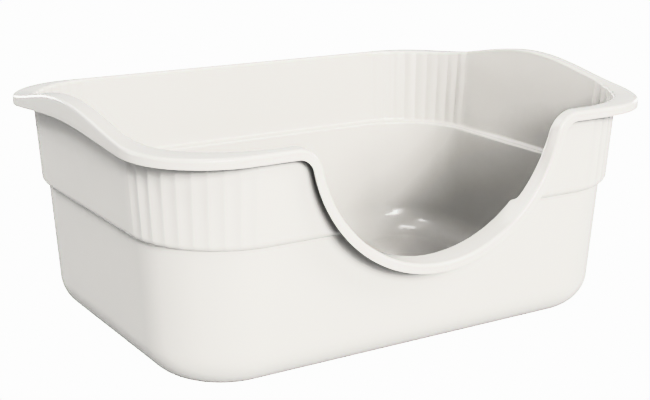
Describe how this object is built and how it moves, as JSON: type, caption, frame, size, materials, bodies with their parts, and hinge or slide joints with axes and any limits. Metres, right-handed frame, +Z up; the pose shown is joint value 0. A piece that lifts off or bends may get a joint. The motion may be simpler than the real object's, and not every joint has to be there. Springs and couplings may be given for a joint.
{
  "type": "open cat litter pan",
  "caption": "Open rectangular cat litter pan with high tapered walls, raised rims over the short ends and a low curved entry at the front.",
  "frame": {"origin": "middle of the footprint, on the surface the pan stands on", "axes": "+Z up, +X along the pan's length to the right seen from the entry, -Y towards the low entry at the front"},
  "size_m": [0.6032, 0.438, 0.2598],
  "materials": {
    "off_white_plastic": "smooth satin gloss, off-white"
  },
  "bodies": {
    "root": {"litter_pan": "off_white_plastic"}
  },
  "joints": []
}
